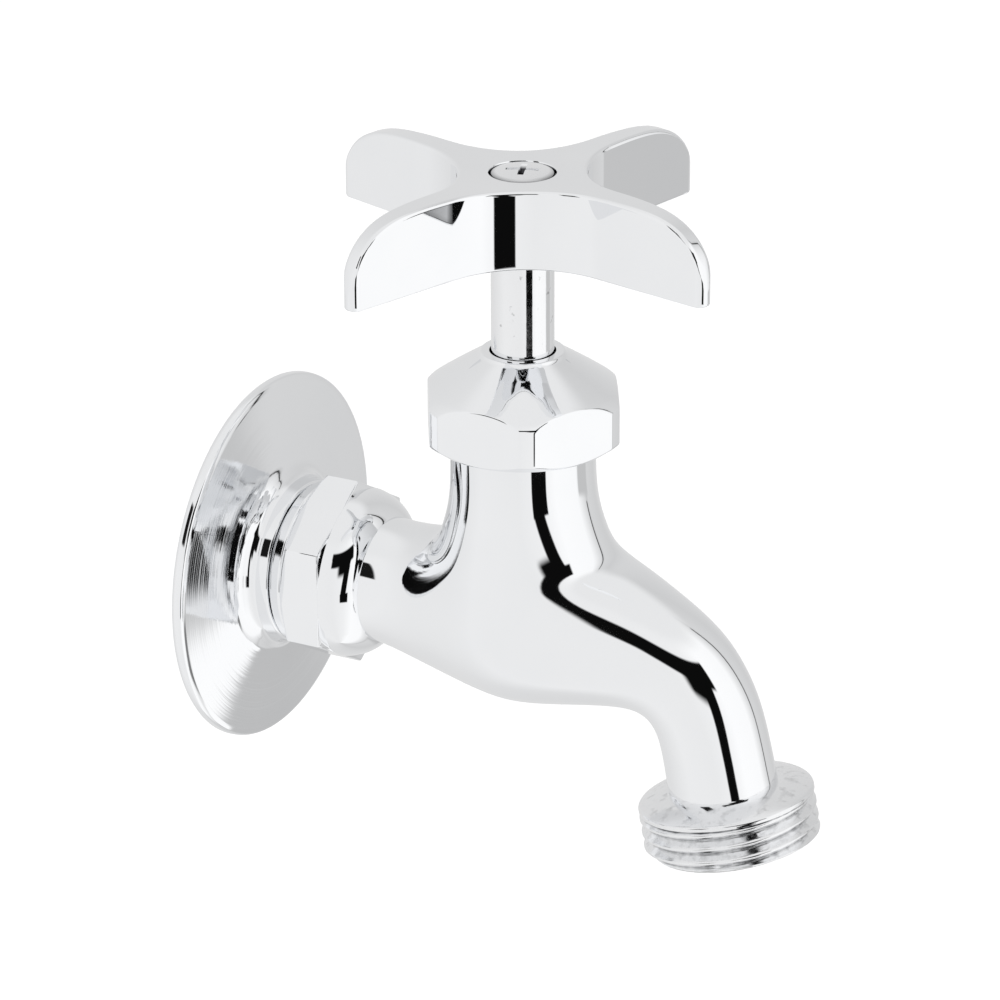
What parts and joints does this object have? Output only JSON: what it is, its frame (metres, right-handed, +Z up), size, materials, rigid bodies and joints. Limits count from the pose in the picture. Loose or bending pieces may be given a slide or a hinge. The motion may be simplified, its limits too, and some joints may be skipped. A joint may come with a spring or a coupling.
{
  "type": "hose bib",
  "caption": "Chrome wall hose bib: threaded inlet with wall flange, upright compression valve with four-arm handle, and a bent spout ending in a male hose thread.",
  "frame": {"origin": "where the inlet axis meets the wall, at the centre of the wall flange's back", "axes": "+Y into the wall along the inlet axis, the faucet reaches out along -Y, +Z up along the valve axis, +X to the right when looking at the wall"},
  "size_m": [0.071, 0.0946, 0.1045],
  "materials": {
    "chrome_body": "bright polished chrome plate on cast brass",
    "chrome_flange": "chrome plate over a spun face with fine turning marks",
    "chrome_nut": "bright polished chrome plate",
    "chrome_handle": "bright polished chrome plate on a casting",
    "chrome_screw": "bright chrome plate",
    "chrome_stem": "turned and chrome plated, slightly less bright",
    "brass": "machined",
    "steel": "satin",
    "fibre": "matte red fibre",
    "graphite": "matte graphite packing",
    "black_rubber": "matte"
  },
  "bodies": {
    "root": {"body": "chrome_body", "wall_flange": "chrome_flange", "cap_nut": "chrome_nut", "valve_sleeve": "brass", "seat_ring": "brass", "seat_gasket": "fibre", "sleeve_gasket": "fibre", "stem_packing": "graphite", "packing_washer": "brass", "friction_washer": "steel", "snap_ring": "steel"},
    "stem": {"stem": "chrome_stem", "stem_oring_lower": "black_rubber", "stem_oring_upper": "black_rubber", "handle": "chrome_handle", "handle_screw": "chrome_screw"},
    "plunger": {"plunger": "brass", "plunger_oring": "black_rubber", "seat_washer": "black_rubber", "washer_screw": "brass"}
  },
  "joints": [
    {"name": "handle_turn", "type": "hinge", "parent": "root", "child": "stem", "pos_m": [0, -0.0454, 0.0464], "axis": [0, 0, 1], "range_deg": [0, 576]},
    {"name": "plunger_lift", "type": "slide", "parent": "root", "child": "plunger", "axis": [0, 0, 1], "range_m": [0, 0.00321]}
  ],
  "couplings": [
    {"joint": "plunger_lift", "follows": "handle_turn", "m_per_rad": 0.00031831}
  ]
}
